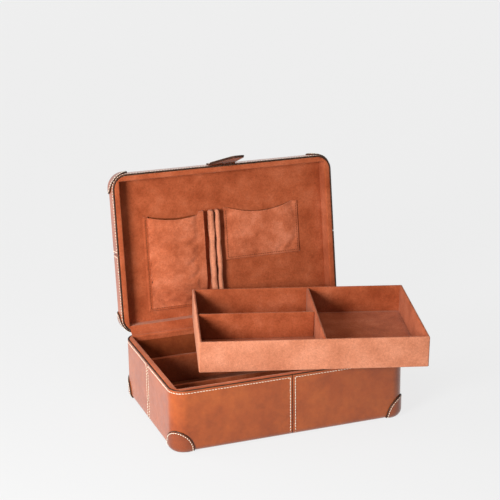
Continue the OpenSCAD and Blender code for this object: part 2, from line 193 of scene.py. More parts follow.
class Paint:
    """A material's Principled shader and the nodes that feed it."""

    def __init__(self, name, settings):
        self.material = bpy.data.materials.new(name)
        self.material.use_nodes = True
        tree = self.material.node_tree
        self.nodes = tree.nodes
        self.links = tree.links
        self.shader = tree.nodes["Principled BSDF"]
        for socket, value in settings.items():
            self.shader.inputs[socket].default_value = value

    def feed(self, socket, value):
        self.links.new(value, self.shader.inputs[socket])

    def texture(self, kind, settings, output):
        """A 3-D texture in the piece's own space, scale in features to a metre."""
        place = self.nodes.new("ShaderNodeTexCoord")
        node = self.nodes.new(kind)
        for socket, value in settings.items():
            node.inputs[socket].default_value = value
        self.links.new(place.outputs["Object"], node.inputs["Vector"])
        return node.outputs[output]

    def noise(self, scale, detail=4, rough=0.55):
        settings = {"Scale": scale, "Detail": detail, "Roughness": rough}
        return self.texture("ShaderNodeTexNoise", settings, "Fac")

    def ramp(self, value, stops):
        """Colour over a value, with stops of (place, colour)."""
        node = self.nodes.new("ShaderNodeValToRGB")
        band = node.color_ramp
        for stop, (place, colour) in zip(band.elements, (stops[0], stops[-1])):
            stop.position, stop.color = place, (*colour, 1)
        for place, colour in stops[1:-1]:
            band.elements.new(place).color = (*colour, 1)
        self.links.new(value, node.inputs["Fac"])
        return node.outputs["Color"]

    def spread(self, value, low, high):
        """The middle range of a noise, stretched from low to high."""
        node = self.nodes.new("ShaderNodeMapRange")
        node.inputs["From Min"].default_value = 0.3
        node.inputs["From Max"].default_value = 0.7
        node.inputs["To Min"].default_value = low
        node.inputs["To Max"].default_value = high
        self.links.new(value, node.inputs["Value"])
        return node.outputs["Result"]

    def tinted(self, colour, value, low, high, amount):
        """colour darkened and lightened by value, between the factors low and high."""
        mix = self.nodes.new("ShaderNodeMix")
        mix.data_type = "RGBA"
        mix.blend_type = "MULTIPLY"
        mix.inputs["Factor"].default_value = amount
        self.links.new(colour, mix.inputs["A"])
        self.links.new(self.spread(value, low, high), mix.inputs["B"])
        return mix.outputs["Result"]

    def bumped(self, *layers):
        """Stacks bump layers of (height, strength, distance in metres) onto the shader's normal."""
        before = None
        for height, strength, distance in layers:
            bump = self.nodes.new("ShaderNodeBump")
            bump.inputs["Strength"].default_value = strength
            bump.inputs["Distance"].default_value = distance
            self.links.new(height, bump.inputs["Height"])
            if before is not None:
                self.links.new(before, bump.inputs["Normal"])
            before = bump.outputs["Normal"]
        self.feed("Normal", before)


def smooth_leather(name, dark, middle, light):
    """Waxed, vegetable-tanned leather: cloudy dye, fine pores and a soft polish."""
    paint = Paint(name, {
        "Specular IOR Level": 0.12, "Coat Weight": 0.8, "Coat Roughness": 0.2,
        "Sheen Weight": 0.06, "Sheen Roughness": 0.25, "Sheen Tint": (1, 0.93, 0.86, 1)})
    colour = paint.ramp(paint.noise(22, 5, 0.6), [(0.3, dark), (0.5, middle), (0.72, light)])
    colour = paint.tinted(colour, paint.noise(140), 0.86, 1.1, 0.8)
    colour = paint.tinted(colour, paint.noise(900, 2), 0.92, 1.06, 0.6)
    paint.feed("Base Color", colour)
    paint.feed("Roughness", paint.spread(paint.noise(60), 0.36, 0.5))
    pores = paint.texture("ShaderNodeTexVoronoi", {"Scale": 1100}, "Distance")
    paint.bumped((paint.noise(45, 3), 0.25, 0.0012), (pores, 0.22, 0.0002),
                 (paint.noise(2400, 3), 0.25, 0.0001))
    return paint.material


def painted_edge(name):
    """Burnished dark paint on the cut edges, a little uneven and worn."""
    paint = Paint(name, {"Specular IOR Level": 0.12})
    stops = [(0.35, (0.018, 0.008, 0.005)), (0.75, (0.07, 0.028, 0.014))]
    paint.feed("Base Color", paint.ramp(paint.noise(260), stops))
    paint.feed("Roughness", paint.spread(paint.noise(400, 3), 0.38, 0.55))
    paint.bumped((paint.noise(900, 3), 0.3, 0.0002))
    return paint.material


def napped_suede(name, dark, middle, light):
    """Suede with a brushed nap: cloudy strokes, fine fibres and a soft sheen."""
    paint = Paint(name, {
        "Specular IOR Level": 0.03, "Sheen Weight": 0.22, "Sheen Roughness": 0.4,
        "Sheen Tint": (1, 0.72, 0.55, 1)})
    colour = paint.ramp(paint.noise(34, 5, 0.62), [(0.32, dark), (0.52, middle), (0.74, light)])
    colour = paint.tinted(colour, paint.noise(420, 4, 0.7), 0.78, 1.16, 0.85)
    colour = paint.tinted(colour, paint.noise(1300, 3), 0.76, 1.16, 0.85)
    paint.feed("Base Color", colour)
    paint.feed("Roughness", paint.spread(paint.noise(300, 3), 0.86, 0.98))
    paint.bumped((paint.noise(120), 0.3, 0.0008), (paint.noise(1500, 4, 0.7), 0.5, 0.0003))
    return paint.material


def twisted_thread(name, dark, light):
    """Waxed linen thread, with the twist as slanting bands."""
    paint = Paint(name, {"Specular IOR Level": 0.1})
    twist = paint.texture("ShaderNodeTexWave", {"Scale": 700, "Distortion": 2}, "Fac")
    twist.node.bands_direction = "DIAGONAL"
    paint.feed("Base Color", paint.ramp(paint.noise(500, 3), [(0.3, dark), (0.7, light)]))
    paint.feed("Roughness", paint.spread(paint.noise(800, 2), 0.6, 0.75))
    paint.bumped((twist, 0.5, 0.0002))
    return paint.material


def plain_solid(name, dark, light, scale, metal, low, high):
    """Board or metal: a mottled colour with its own roughness range."""
    paint = Paint(name, {"Metallic": metal})
    paint.feed("Base Color", paint.ramp(paint.noise(scale), [(0.3, dark), (0.7, light)]))
    paint.feed("Roughness", paint.spread(paint.noise(scale * 3, 3), low, high))
    paint.bumped((paint.noise(scale * 6, 3), 0.2, 0.0001))
    return paint.material


# ---- meshes ----

class Solid:
    """Vertices and quads of a piece while it is being built."""

    def __init__(self):
        self.points = []
        self.faces = []
        self.paints = []

    def skin(self, rings, paint=None, end_paint=0, closed=False):
        """Joins equal rings of points into a solid: each ring is a loop, and its two halves face each other."""
        first = len(self.points)
        count = len(rings[0])
        for ring in rings:
            self.points.extend(ring)
        spans = len(rings) if closed else len(rings) - 1
        for r in range(spans):
            here = first + r * count
            there = first + (r + 1) % len(rings) * count
            for k in range(count):
                n = (k + 1) % count
                self.faces.append((here + k, here + n, there + n, there + k))
                self.paints.append(paint(r, k) if paint else 0)
        if closed:
            return
        for r in (0, len(rings) - 1):
            here = first + r * count
            for k in range(count // 2 - 1):
                other = count - 1 - k
                self.faces.append((here + k, here + k + 1, here + other - 1, here + other))
                self.paints.append(end_paint)


def piece(name, solid, materials, body, stands_for=(), place=AT_REST, crease=38):
    """Makes the mesh object of a solid, puts it in place and lets it ride on its body."""
    mesh = bpy.data.meshes.new(name)
    mesh.from_pydata([place @ p for p in solid.points], [], solid.faces)
    for material in materials:
        mesh.materials.append(material)
    mesh.polygons.foreach_set("material_index", solid.paints)
    bm = bmesh.new()
    bm.from_mesh(mesh)
    bmesh.ops.remove_doubles(bm, verts=bm.verts, dist=2e-6)
    bmesh.ops.dissolve_degenerate(bm, edges=bm.edges, dist=1e-7)
    bmesh.ops.recalc_face_normals(bm, faces=bm.faces)
    bm.to_mesh(mesh)
    bm.free()
    mesh.shade_smooth()
    mesh.set_sharp_from_angle(angle=math.radians(crease))
    thing = bpy.data.objects.new(name, mesh)
    bpy.context.collection.objects.link(thing)
    if body is not None:
        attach(thing, body)
    if stands_for:
        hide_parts(*stands_for)
    return thing


def between(a, b, count):
    """count + 1 even values from a to b."""
    return [a + (b - a) * k / count for k in range(count + 1)]


def clamp(value, low, high):
    return max(low, min(high, value))


def rounded_in(gap, radius):
    """How far a rounded edge has drawn in at a distance from its end."""
    rest = clamp(radius - gap, 0, radius)
    return radius - math.sqrt(radius * radius - rest * rest)


def rolled(share):
    """Height of a quarter-round edge, from 0 at its foot to 1 once share reaches 1."""
    return math.sqrt(1 - (1 - clamp(share, 0, 1)) ** 2)


def eased(value):
    value = clamp(value, 0, 1)
    return value * value * (3 - 2 * value)


def box_ring(half_a, half_b, radius, steps_a, steps_b, arc=4):
    """Rounded-rectangle section as (a, b) pairs, whose two halves mirror each other in b."""
    inner_a = half_a - radius
    inner_b = half_b - radius
    side = between(0, inner_b, steps_b)
    rising = [math.pi / 2 * k / arc for k in range(1, arc)]
    falling = [math.pi / 2 * (1 - k / arc) for k in range(1, arc)]
    top = [(-half_a, b) for b in side]
    top += [(-inner_a - radius * math.cos(t), inner_b + radius * math.sin(t)) for t in rising]
    top += [(a, half_b) for a in between(-inner_a, inner_a, steps_a)]
    top += [(inner_a + radius * math.cos(t), inner_b + radius * math.sin(t)) for t in falling]
    top += [(half_a, b) for b in reversed(side)]
    bottom = [(a, -b) for a, b in reversed(top[1:-1])]
    return top, bottom


def soft_bar(solid, low, high, radius, along=0, step=9 * MM, sway=0.12 * MM):
    """A covered board from corner low to corner high, all its edges rounded, its faces a little uneven."""
    low = Vector(low)
    high = Vector(high)
    middle = (low + high) / 2
    half = (high - low) / 2
    across, rise = [k for k in range(3) if k != along]
    count = max(3, round(2 * half[along] / step))
    ends = [0, 0.12 * radius, 0.35 * radius, radius]
    stations = ends + between(radius, 2 * half[along] - radius, count)[1:-1]
    stations += [2 * half[along] - e for e in reversed(ends)]
    top, bottom = box_ring(half[across], half[rise], radius,
                           max(1, round(2 * half[across] / step)), max(1, round(half[rise] / step)))
    rings = []
    for s in stations:
        drawn = rounded_in(min(s, 2 * half[along] - s), radius)
        ring = []
        for a, b in top + bottom:
            p = Vector()
            p[along] = s - half[along]
            p[across] = a * (1 - drawn / half[across])
            p[rise] = b * (1 - drawn / half[rise])
            p += middle
            wave = noise.noise(p * 45) * sway
            p[across] += wave * a / half[across]
            p[rise] += wave * b / half[rise]
            ring.append(p)
        rings.append(ring)
    solid.skin(rings)


def mirrored(p, sx, sy):
    """The point p moved from the front-left quarter to another."""
    return Vector((p.x * sx, p.y * sy, p.z))


# ---- the round-cornered outline ----

def quarter_outline():
    """Points on the front-left quarter of the outline with their outward normals, mid front to mid left,
    and each one's distance to the nearer end."""
    run = HALF_W - CORNER_R
    side = HALF_D - CORNER_R
    fine = [0, 0.15 * MM, 0.35 * MM, 0.7 * MM, 1.4 * MM]
    stations = []
    for x in [SEAM_HALF + f for f in fine] + between(5 * MM, run, 15):
        stations.append((Vector((-x, -HALF_D, 0)), Vector((0, -1, 0)), x - SEAM_HALF))
    for k in range(1, 16):
        a = math.pi / 2 * k / 16
        n = Vector((-math.sin(a), -math.cos(a), 0))
        stations.append((Vector((-run, -side, 0)) + n * CORNER_R, n, side))
    for y in between(side, 5 * MM, 10) + [SEAM_HALF + f for f in reversed(fine)]:
        stations.append((Vector((-HALF_W, -y, 0)), Vector((-1, 0, 0)), y - SEAM_HALF))
    return stations


# Three angles over the quarter round of a folded edge
QUARTER = [math.pi / 2 * k / 3 for k in (1, 2, 3)]


def panel_section(height, edge_r):
    """Outer line of a side panel from its turned-in edge to its rim: (inset, height, normal, painted)."""
    line = [(i, 0, (0, -1), False) for i in between(TURN_IN, edge_r, 4)]
    for k in range(1, 9):
        b = math.pi / 2 * k / 8
        line.append((edge_r - edge_r * math.sin(b), edge_r - edge_r * math.cos(b),
                     (-math.sin(b), -math.cos(b)), False))
    row = height - STITCH_INSET
    for z in between(edge_r, row - 1.2 * MM, 7)[1:]:
        line.append((0, z, (-1, 0), False))
    for dz, sunk in ((-0.6, 0.06), (-0.3, 0.2), (0, 0.28), (0.3, 0.2), (0.6, 0.06), (1.1, 0)):
        line.append((sunk * MM, row + dz * MM, (-1, 0), False))
    line.append((0, height - 1.0 * MM, (-1, 0), False))
    r = 0.8 * MM
    for t in QUARTER:
        line.append((r - r * math.cos(t), height - r + r * math.sin(t), (-math.cos(t), math.sin(t)), True))
    return line


def leather_panel(sx, sy, height, edge_r, end_z, way):
    """One corner panel: end_z is the flat end face of the shell, and way is up (1) or down (-1) from it."""
    line = panel_section(height, edge_r)
    count = len(line)
    rings = []
    stations = quarter_outline()
    for point, normal, gap in stations:
        drawn = rounded_in(gap, 0.7 * MM)
        outer = []
        inner = []
        for inset, z, (ni, nz), painted in line:
            i_out = inset - ni * drawn
            z_out = z - nz * drawn
            outer.append(point - normal * i_out + Vector((0, 0, end_z + way * z_out)))
            if painted:
                i_in, z_in = LEATHER_T - inset, z
            else:
                i_in, z_in = inset - ni * LEATHER_T, z - nz * LEATHER_T
            inner.append(point - normal * i_in + Vector((0, 0, end_z + way * z_in)))
        rings.append([mirrored(p, sx, sy) for p in outer + inner[::-1]])

    def paint(r, k):
        if min(stations[r][2], stations[r + 1][2]) < 0.3 * MM:
            return 2
        return 1 if count - 4 <= k <= count + 2 or k == 2 * count - 1 else 0

    solid = Solid()
    solid.skin(rings, paint, 2)
    return solid


# ---- stitches ----

def under_tab(p):
    """True where the closure tab covers the front of the lid, in the closed frame."""
    return (abs(p.x) < TAB_W / 2 + 2 * MM and p.y < -HALF_D + 1 * MM
            and LID_RIM - 1 * MM < p.z < TAB_PIVOT.z + TAB_SEWN + 1 * MM)


def stitches(solid, path, lift=0.0, pitch=None, thread=None, covered=None):
    """Lays single stitches along a path of (point, normal), each a short hump of thread."""
    pitch = pitch or STITCH_PITCH
    thread = thread or THREAD_R
    lengths = [0]
    for (a, _), (b, _) in zip(path, path[1:]):
        lengths.append(lengths[-1] + (b - a).length)
    total = lengths[-1]
    count = max(1, round(total / pitch))
    span = total / count
    half = span * STITCH_LENGTH / STITCH_PITCH / 2

    def at(distance):
        distance = clamp(distance, 0, total)
        k = 0
        while k < len(lengths) - 2 and lengths[k + 1] < distance:
            k += 1
        t = (distance - lengths[k]) / max(lengths[k + 1] - lengths[k], 1e-9)
        (a, na), (b, nb) = path[k], path[k + 1]
        return a.lerp(b, t), na.lerp(nb, t).normalized()

    for n in range(count):
        middle = (n + 0.5) * span
        if covered and covered(at(middle)[0]):
            continue
        lean = random.uniform(0.08, 0.2) * MM
        rings = []
        for u in between(-1, 1, 6):
            p, normal = at(middle + u * half)
            q, _ = at(middle + u * half + 0.2 * MM)
            if (q - p).length < 1e-7:
                q, _ = at(middle + u * half - 0.2 * MM)
                q = p + (p - q)
            ahead = (q - p).normalized()
            side = ahead.cross(normal).normalized()
            fat = thread * (0.6 + 0.4 * math.cos(u * math.pi / 2))
            centre = p + normal * (lift + thread * (0.95 * math.cos(u * math.pi / 2) - 0.45)) + side * lean * u
            rings.append([centre + (side * math.cos(a) + normal * math.sin(a) * 0.85) * fat
                          for a in (math.pi * (0.125 + k / 4) for k in range(8))])
        solid.skin(rings)


def panel_stitch_paths(sx, sy, height, edge_r, end_z, way):
    """The row that runs up beside one seam, along under the rim and down beside the next seam."""
    row = height - STITCH_INSET
    foot = edge_r * 0.35
    path = []

    def add(point, normal, z, sunk):
        p = point - normal * sunk + Vector((0, 0, end_z + way * z))
        path.append((mirrored(p, sx, sy), mirrored(normal, sx, sy)))

    for z in between(foot, row, 14):
        add(Vector((-SEAM_STITCH, -HALF_D, 0)), Vector((0, -1, 0)), z, rounded_in(z, edge_r))
    for point, normal, gap in quarter_outline():
        if gap + SEAM_HALF > SEAM_STITCH + 0.5 * MM:
            add(point, normal, row, 0.25 * MM)
    for z in between(row, foot, 14):
        add(Vector((-HALF_W, -SEAM_STITCH, 0)), Vector((-1, 0, 0)), z, rounded_in(z, edge_r))
    return path


# ---- corner guards ----

def guard_surface(s, t, edge_r, off, end_z, way):
    """Point and normal on the corner at perimeter place s and section place t, raised by off.
    s is 0 at the middle of the corner, and t is 0 where the wall meets the rounded edge."""
    half_arc = CORNER_R * math.pi / 4
    if abs(s) <= half_arc:
        a = math.pi / 4 + s / CORNER_R
        n = Vector((-math.sin(a), -math.cos(a), 0))
        point = Vector((CORNER_R - HALF_W, CORNER_R - HALF_D, 0)) + n * CORNER_R
    elif s < 0:
        n = Vector((0, -1, 0))
        point = Vector((CORNER_R - HALF_W - (s + half_arc), -HALF_D, 0))
    else:
        n = Vector((-1, 0, 0))
        point = Vector((-HALF_W, CORNER_R - HALF_D + (s - half_arc), 0))
    quarter = edge_r * math.pi / 2
    if t >= 0:
        inset, z, out, down = -off, edge_r + t, 1, 0
    elif t > -quarter:
        b = -t / edge_r
        inset = edge_r - (edge_r + off) * math.cos(b)
        z = edge_r - (edge_r + off) * math.sin(b)
        out, down = math.cos(b), math.sin(b)
    else:
        inset, z, out, down = edge_r + (-t - quarter), -off, 0, 1
    p = point - n * inset + Vector((0, 0, end_z + way * z))
    return p, (n * out + Vector((0, 0, -way * down))).normalized()


def guard_reach(angle, edge_r, egg_h, low_t):
    """How far the guard reaches from its middle in one direction, in its (s, t) plane."""
    corner = Vector((-HALF_W, -HALF_D, 0))
    centre_t = -edge_r * math.pi / 4
    near, far = 0, 2 * GUARD_R
    for _ in range(24):
        middle = (near + far) / 2
        p, _ = guard_surface(middle * math.cos(angle), centre_t + middle * math.sin(angle), edge_r, 0, 0, 1)
        away = p - corner
        if (away.x ** 2 + away.y ** 2) / GUARD_R ** 2 + away.z ** 2 / egg_h ** 2 < 1:
            near = middle
        else:
            far = middle
    if low_t is not None and math.sin(angle) < 0:
        near = min(near, (low_t - centre_t) / math.sin(angle))
    return near


def corner_guard(sx, sy, edge_r, egg_h, end_z, way, low_t):
    """A moulded leather patch over a corner, with a painted edge and its own row of stitches."""
    spokes = 72

    def spot(k, reach, off):
        """Point and normal on the guard, on spoke k at a reach from its middle."""
        a = 2 * math.pi * k / spokes
        p, n = guard_surface(reach * math.cos(a), reach * math.sin(a) - edge_r * math.pi / 4,
                             edge_r, off, end_z, way)
        return mirrored(p, sx, sy), mirrored(n, sx, sy)

    steps = [0.04] + between(0.14, 0.9, 9)
    rows = [(f, 0, GUARD_T) for f in steps]
    rows += [(1, 1.2 * MM, GUARD_T), (1, 0.5 * MM, GUARD_T - 0.12 * MM), (1, 0.12 * MM, GUARD_T - 0.45 * MM),
             (1, 0, 0.5 * GUARD_T), (1, 0.1 * MM, 0.06 * MM)]
    rows += [(f, 0, 0.06 * MM) for f in reversed(steps)]
    reaches = [guard_reach(2 * math.pi * k / spokes, edge_r, egg_h, low_t) for k in range(spokes)]
    rings = [[spot(k, reaches[k] * share - back, off)[0] for share, back, off in rows] for k in range(spokes)]
    solid = Solid()
    solid.skin(rings, lambda r, k: 1 if len(steps) <= k <= len(steps) + 3 else 0, closed=True)
    thread = Solid()
    sewn = range(-6, 43) if low_t is None else range(37)
    stitches(thread, [spot(k, reaches[k % spokes] - 2.3 * MM, GUARD_T) for k in sewn], pitch=2.9 * MM)
    return solid, thread


# ---- suede linings ----

def wall_lining(side, depth, rim, way):
    """The lining of one side wall with its fold over the rim; way is down (-1) or up (1) from the rim."""
    half_u, half_v = (HALF_W, HALF_D) if side in ("front", "back") else (HALF_D, HALF_W)
    centre = half_u - CORNER_R
    band_r = CORNER_R - LEATHER_T - 0.15 * MM
    fold = WALL - LEATHER_T
    left = []
    for a in between(math.pi / 4, 0, 6):
        share = a / (math.pi / 4)
        outer = (-centre - band_r * math.sin(a), CORNER_R - band_r * math.cos(a))
        inner = (-centre - (CORNER_R - WALL) * share, WALL)
        left.append((outer, inner))
    straight = [((u, LEATHER_T + 0.15 * MM), (u, WALL)) for u in between(-centre, centre, 24)[1:-1]]
    right = [((-o[0], o[1]), (-i[0], i[1])) for o, i in reversed(left)]
    r = 1.1 * MM
    skin_share = SUEDE_T / fold
    section = [(1, d) for d in between(depth, r, 7)]
    section += [(1 - (r - r * math.cos(t)) / fold, r - r * math.sin(t)) for t in QUARTER]
    section += [(share, -0.12 * MM) for share in (0.7, 0.5, 0.3)]
    section += [(0.12, -0.05 * MM), (0.04, 0.12 * MM), (0, 0.35 * MM)]
    back = [(0, FOLD_T), (0.1, FOLD_T), (0.4, FOLD_T), (0.6, FOLD_T)]
    back += [(1 - skin_share, d) for d in between(FOLD_T + 0.6 * MM, depth, len(section) - len(back) - 1)]
    rings = []
    for outer, inner in left + straight + right:
        ring = []
        for share, d in section + back:
            u = outer[0] + (inner[0] - outer[0]) * share
            v = outer[1] + (inner[1] - outer[1]) * share
            if d > 0:
                v += noise.noise(Vector((u * 30, v * 30, d * 30))) * 0.15 * MM * min(1, d / (6 * MM))
            z = rim + way * d
            spot = {"front": (u, -half_v + v), "back": (-u, half_v - v),
                    "left": (-half_v + v, -u), "right": (half_v - v, u)}[side]
            ring.append(Vector((*spot, z)))
        rings.append(ring)
    solid = Solid()
    solid.skin(rings)
    return solid


def wrapped_ring(solid, half_x, half_y, z0, z1, thick, corner):
    """The four walls of a tray in one wrap, with a soft top edge and sharp inside corners."""
    outline = []
    for sx, sy, start in ((-1, -1, 180), (1, -1, 270), (1, 1, 0), (-1, 1, 90)):
        cx = sx * (half_x - corner)
        cy = sy * (half_y - corner)
        for k in range(7):
            a = math.radians(start + 90 * k / 6)
            n = Vector((math.cos(a), math.sin(a), 0))
            outline.append((Vector((cx, cy, 0)) + n * corner, n))
        end = outline[-1][0]
        n = outline[-1][1]
        length = 2 * ((half_x if abs(n.y) > 0.5 else half_y) - corner)
        ahead = Vector((-n.y, n.x, 0))
        for d in between(0, length, 26 if abs(n.y) > 0.5 else 16)[1:-1]:
            outline.append((end + ahead * d, n))
    r = 1.5 * MM
    line = [(0.5 * MM, z0), (0, z0 + 0.5 * MM)] + [(0, z) for z in between(z0 + 3 * MM, z1 - r, 4)]
    line += [(r - r * math.cos(t), z1 - r + r * math.sin(t)) for t in QUARTER]
    line += [(thick - i, z) for i, z in reversed(line)]
    rings = []
    for point, normal in outline:
        ring = []
        for inset, z in line:
            p = point - normal * inset
            p.x = clamp(p.x, inset - half_x, half_x - inset)
            p.y = clamp(p.y, inset - half_y, half_y - inset)
            wave = noise.noise(Vector((point.x * 26, point.y * 26, z * 40))) * 0.16 * MM
            rise = (z - z0) / (z1 - z0)
            ring.append(Vector((p.x, p.y, z)) + normal * wave * math.sin(math.pi * clamp(rise, 0, 1)))
        rings.append(ring)
    solid.skin(rings, closed=True)


def pillow_slab(solid, low, high, crown, radius=0.6 * MM, count_x=40, count_y=28, wave=0.15 * MM, side=1):
    """A covered board or pad whose top (side 1) or underside (side -1) is a little crowned and uneven."""
    low = Vector(low)
    high = Vector(high)
    ends = [0, 0.3 * radius, radius]
    wide = high.x - low.x
    deep = high.y - low.y
    xs = ends + between(radius, wide - radius, count_x)[1:-1] + [wide - e for e in reversed(ends)]
    ys = ends + between(radius, deep - radius, count_y)[1:-1] + [deep - e for e in reversed(ends)]
    face = high.z if side > 0 else low.z
    back = low.z if side > 0 else high.z
    rings = []
    for x in xs:
        ring = []
        drop_x = rounded_in(min(x, wide - x), radius)
        for y in ys:
            drop = max(drop_x, rounded_in(min(y, deep - y), radius))
            puff = crown * math.sin(math.pi * x / wide) ** 0.5 * math.sin(math.pi * y / deep) ** 0.5
            edge = clamp(min(x, wide - x, y, deep - y) / (8 * MM), 0, 1)
            ripple = noise.noise(Vector((low.x + x, low.y + y, face)) * 28) * wave * edge
            ring.append(Vector((low.x + x, low.y + y, face + side * (puff + ripple - drop))))
        ring += [Vector((p.x, p.y, back)) for p in reversed(ring)]
        rings.append(ring)
    solid.skin(rings)


# ---- what is on the lid's inside face ----

def on_panel(x, s, h):
    """x to the right, s away from the hinge edge, h off the lid's inside face, in the closed frame."""
    return Vector((-HALF_W + x, HALF_D - s, PANEL_Z - h))


def scooped(x, size):
    """Top edge of the patch pocket: an arc between the two ends of its mouth."""
    x0, x1, sag = size["mouth"]
    half = (x1 - x0) / 2
    radius = (half * half + sag * sag) / (2 * sag)
    off = x - (x0 + x1) / 2
    if abs(off) >= half:
        return size["s1"]
    return size["s1"] - sag + radius - math.sqrt(radius * radius - off * off)


def notched(x, size):
    """Top edge of the left pocket: a flat scoop, with a corner left standing at the right."""
    x0, x1, sag = size["mouth"]
    if x < x0:
        return size["s1"] - 0.8 * MM
    if x > x1:
        return size["s1"]
    across = (x - x0) / (x1 - x0)
    return size["s1"] - 2.6 * MM - 2 * MM * across - (sag - 3.4 * MM) * math.sin(math.pi * across)


def sheet_solid(points, towards, thick):
    """A sheet of the given thickness behind a grid of points, whose outer side faces towards."""
    rings = []
    for i, column in enumerate(points):
        rear = []
        for j, p in enumerate(column):
            du = points[min(i + 1, len(points) - 1)][j] - points[max(i - 1, 0)][j]
            dv = column[min(j + 1, len(column) - 1)] - column[max(j - 1, 0)]
            n = du.cross(dv)
            n = n.normalized() if n.length > 1e-12 else Vector(towards)
            rear.append(p - (n if n.dot(Vector(towards)) >= -1e-6 else -n) * thick)
        rings.append(column + rear[::-1])
    solid = Solid()
    solid.skin(rings)
    return solid


POCKET = dict(x0=38 * MM, x1=114 * MM, s0=20 * MM, s1=137 * MM, mouth=(44 * MM, 105 * MM, 6.8 * MM))
PATCH = dict(x0=141 * MM, x1=239 * MM, s0=72 * MM, s1=137 * MM, mouth=(146 * MM, 231 * MM, 8 * MM))
FLANGE = 5.5 * MM
EDGE_ROLL = 1.3 * MM
FINE = [0, 0.04, 0.12, 0.25, 0.45, 0.7, 1]
NEAR_EDGE = [f * EDGE_ROLL for f in FINE]


def pocket_grid(size, edge_line, xs, rows, brim, swell):
    """Grid over a pocket: columns at xs, each with rows(top) places up to its top edge. The sewn edges
    are rounded up to brim, and swell(x, s, top) is what the pocket stands off beyond that."""
    wide = size["x1"] - size["x0"]
    columns = []
    for x in xs:
        top = edge_line(size["x0"] + x, size) - size["s0"]
        column = []
        for s in rows(top):
            h = brim * rolled(min(x, wide - x, s) / EDGE_ROLL) + swell(x, s, top) + 0.1 * MM
            column.append(on_panel(size["x0"] + x, size["s0"] + s, h))
        columns.append(column)
    return columns


def left_pocket_grid():
    """Sewn flat along a flange at its left and foot, and full depth at its right."""
    wide = POCKET["x1"] - POCKET["x0"]
    step = 1.6 * MM
    xs = NEAR_EDGE + [2.5 * MM, 4 * MM, FLANGE - 0.7 * MM, FLANGE - 0.35 * MM]
    xs += [FLANGE + f * step for f in FINE] + between(FLANGE + step, wide - EDGE_ROLL, 34)[1:-1]
    xs += [wide - x for x in reversed(NEAR_EDGE)]

    def swell(x, s, top):
        lift = rolled((x - FLANGE) / step)
        full = 2.2 * MM * lift + 4.4 * MM * eased((x - FLANGE) / (30 * MM)) * lift
        crease = lift * noise.noise(Vector((x * 22, s * 42, 1.7))) * 1.1 * MM
        foot = eased((s - FLANGE + 2 * MM) / (34 * MM)) if x > FLANGE else 0
        return (full + crease) * foot * rolled((wide - x) / EDGE_ROLL)

    return pocket_grid(POCKET, notched, xs, lambda top: (
        NEAR_EDGE + [3 * MM, FLANGE] + between(FLANGE, top, 44)[1:]), 1.6 * MM, swell)


def patch_grid():
    """A flat patch, a little slack in the middle and at its mouth."""
    wide = PATCH["x1"] - PATCH["x0"]
    xs = NEAR_EDGE + between(EDGE_ROLL, wide - EDGE_ROLL, 40)[1:-1] + [wide - x for x in reversed(NEAR_EDGE)]

    def swell(x, s, top):
        slack = eased((min(x, wide - x) - 3 * MM) / (18 * MM)) * eased((s - 3 * MM) / (30 * MM))
        return slack * (0.9 * MM + 0.9 * MM * (s / top) ** 3)

    return pocket_grid(PATCH, scooped, xs, lambda top: (
        NEAR_EDGE + between(EDGE_ROLL, top, 28)[1:]), 1.5 * MM, swell)


CLOTH_FRAMES = 18


def settled(points, faces, held, pressure, grow, cap):
    """Runs the points as cloth, held at some of them, and gives back where they settle."""
    mesh = bpy.data.meshes.new("settling_cloth")
    mesh.from_pydata(points, [], faces)
    cloth_piece = bpy.data.objects.new("settling_cloth", mesh)
    bpy.context.collection.objects.link(cloth_piece)
    cloth_piece.vertex_groups.new(name="held").add(held, 1, "REPLACE")
    modifier = cloth_piece.modifiers.new("cloth", "CLOTH")
    settings = modifier.settings
    settings.quality = 8
    settings.mass = 0.02
    settings.tension_stiffness = 12
    settings.compression_stiffness = 12
    settings.shear_stiffness = 6
    settings.bending_stiffness = 0.4
    settings.vertex_group_mass = "held"
    settings.shrink_min = -grow
    settings.use_pressure = pressure > 0
    settings.uniform_pressure_force = pressure
    settings.effector_weights.gravity = 0
    modifier.point_cache.frame_start = 1
    modifier.point_cache.frame_end = CLOTH_FRAMES
    scene = bpy.context.scene
    for k in range(1, CLOTH_FRAMES + 1):
        scene.frame_set(k)
    made = cloth_piece.evaluated_get(bpy.context.evaluated_depsgraph_get()).data
    out = []
    for before, vertex in zip(points, made.vertices):
        moved = vertex.co - before
        out.append(before + moved * min(1, cap / max(moved.length, 1e-9)))
    scene.frame_set(1)
    bpy.data.objects.remove(cloth_piece)
    bpy.data.meshes.remove(mesh)
    return out


def settled_grid(grid, held_rows, held_columns, pressure, grow, cap):
    """Cloth over a grid that is sewn down along its first rows and its outer columns."""
    rows = len(grid[0])
    points = [p for column in grid for p in column]
    faces = [(i * rows + j, i * rows + j + 1, (i + 1) * rows + j + 1, (i + 1) * rows + j)
             for i in range(len(grid) - 1) for j in range(rows - 1)]
    a, b, c = (points[k] for k in faces[rows * (len(grid) // 2)][:3])
    if (b - a).cross(c - b).z > 0:
        faces = [f[::-1] for f in faces]
    held = [i * rows + j for i in range(len(grid)) for j in range(rows)
            if j < held_rows or i < held_columns or i >= len(grid) - held_columns]
    points = settled(points, faces, held, pressure, grow, cap)
    return [points[i * rows:(i + 1) * rows] for i in range(len(grid))]


# ---- the pieces ----

def add_thread(name, thread, body, place, colour=None):
    piece(name, thread, [colour or CREAM], body, place=place, crease=80)


def add_suede(name, solid, body, node, place=AT_REST, *colours):
    """A suede piece that stands for one CAD node."""
    return piece(name, solid, colours or [SUEDE], body, [node], place)


